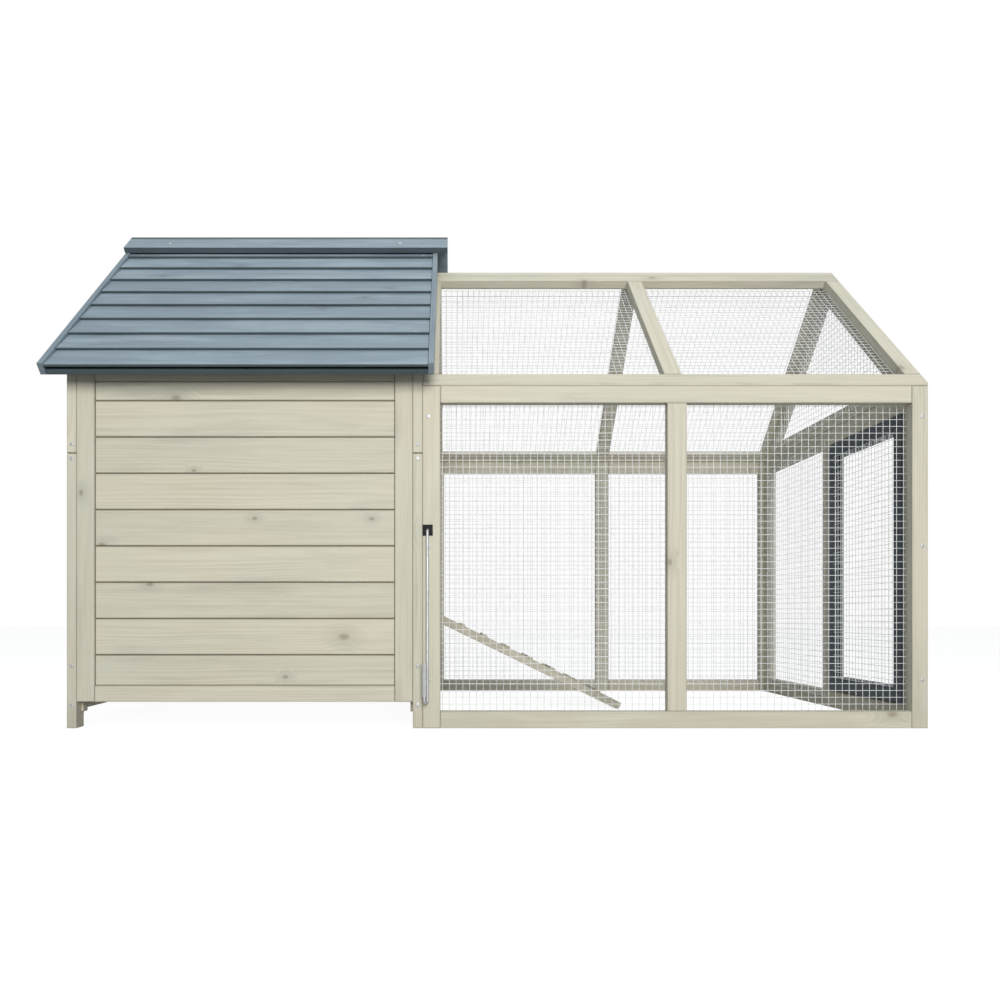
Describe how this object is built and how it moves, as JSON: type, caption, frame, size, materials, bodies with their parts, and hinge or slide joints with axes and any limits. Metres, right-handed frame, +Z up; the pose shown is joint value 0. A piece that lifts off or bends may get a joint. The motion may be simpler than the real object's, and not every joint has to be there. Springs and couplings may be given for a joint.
{
  "type": "chicken coop with run",
  "caption": "Wooden chicken coop: a boarded house under a lapped board roof, joined to a wire netted run with a gabled net roof, ramp, doors, pull-out tray and a rod-worked pop door.",
  "frame": {"origin": "on the ground, at the middle of the whole length and depth", "axes": "+X from the house to the run, -Y the front with the pull rod, +Z up"},
  "size_m": [1.6362, 0.8528, 1.0873],
  "materials": {
    "washed_wood": "thin whitewash over fir, matt",
    "roof_paint": "blue-grey wood stain, matt",
    "navy_paint": "dark navy wood stain, matt",
    "galvanised_wire": "galvanised welded wire",
    "zinc_steel": "zinc plated",
    "grip_plastic": "grey sleeve",
    "black_plastic": "black moulded plate",
    "tray_sheet": "galvanised sheet"
  },
  "bodies": {
    "coop": {"house_left_frame": "washed_wood", "house_left_boards": "washed_wood", "house_right_frame": "washed_wood", "house_right_boards": "washed_wood", "gable_left_frame": "washed_wood", "gable_left_boards": "washed_wood", "gable_right_frame": "washed_wood", "gable_right_boards": "washed_wood", "front_wall_frame": "washed_wood", "front_wall_boards": "washed_wood", "back_wall_frame": "washed_wood", "back_wall_boards": "washed_wood", "corner_strips": "washed_wood", "perch": "washed_wood", "tray_runners": "washed_wood", "pop_door_guides": "washed_wood", "run_front_frame": "washed_wood", "run_back_frame": "washed_wood", "run_side_frame": "washed_wood", "run_gable_frame": "washed_wood", "run_roof_front_frame": "washed_wood", "run_roof_back_frame": "washed_wood", "roof_front_frame": "roof_paint", "roof_front_boards": "roof_paint", "roof_back_frame": "roof_paint", "roof_back_boards": "roof_paint", "ridge_cap_front": "roof_paint", "ridge_cap_back": "roof_paint", "run_front_net": "galvanised_wire", "run_back_net": "galvanised_wire", "run_side_net": "galvanised_wire", "run_gable_net": "galvanised_wire", "run_roof_front_net": "galvanised_wire", "run_roof_back_net": "galvanised_wire", "hinge_frame_leaves": "zinc_steel", "hinge_pins": "zinc_steel", "bolt_keepers": "zinc_steel", "house_screws": "zinc_steel", "run_screws": "zinc_steel", "roof_screws": "zinc_steel", "rod_guide_plate": "black_plastic"},
    "run_door": {"run_door_frame": "navy_paint", "run_door_net": "galvanised_wire", "run_door_leaves": "zinc_steel", "run_door_bolt_bracket": "zinc_steel"},
    "run_door_bolt": {"run_door_bolt": "zinc_steel"},
    "house_door": {"house_door_frame": "navy_paint", "house_door_boards": "navy_paint", "house_door_leaves": "zinc_steel", "house_door_bolt_bracket": "zinc_steel"},
    "house_door_bolt": {"house_door_bolt": "zinc_steel"},
    "pop_door": {"pop_door": "washed_wood", "pop_door_rod": "zinc_steel", "rod_grip": "grip_plastic"},
    "tray": {"tray_sides": "washed_wood", "tray_base": "tray_sheet", "tray_pull": "zinc_steel"},
    "ramp": {"ramp_board": "washed_wood", "ramp_cleats": "washed_wood", "ramp_leaves": "zinc_steel"}
  },
  "joints": [
    {"name": "run_door_hinge", "type": "hinge", "parent": "coop", "child": "run_door", "pos_m": [0.80885, -0.3217, 0.318], "axis": [0, 0, -1], "range_deg": [0, 110]},
    {"name": "run_door_bolt_slide", "type": "slide", "parent": "run_door", "child": "run_door_bolt", "axis": [0, 1, 0], "range_m": [0, 0.018]},
    {"name": "house_door_hinge", "type": "hinge", "parent": "coop", "child": "house_door", "pos_m": [-0.61865, 0.3743, 0.36], "axis": [0, 0, 1], "range_deg": [0, 110]},
    {"name": "house_door_bolt_slide", "type": "slide", "parent": "house_door", "child": "house_door_bolt", "axis": [1, 0, 0], "range_m": [0, 0.018]},
    {"name": "pop_door_slide", "type": "slide", "parent": "coop", "child": "pop_door", "axis": [0, -1, 0], "range_m": [0, 0.205]},
    {"name": "tray_slide", "type": "slide", "parent": "coop", "child": "tray", "axis": [-1, 0, 0], "range_m": [0, 0.55]},
    {"name": "ramp_hinge", "type": "hinge", "parent": "coop", "child": "ramp", "pos_m": [-0.10655, 0.033, 0.2118], "axis": [0, -1, 0], "range_deg": [0, 100]}
  ]
}
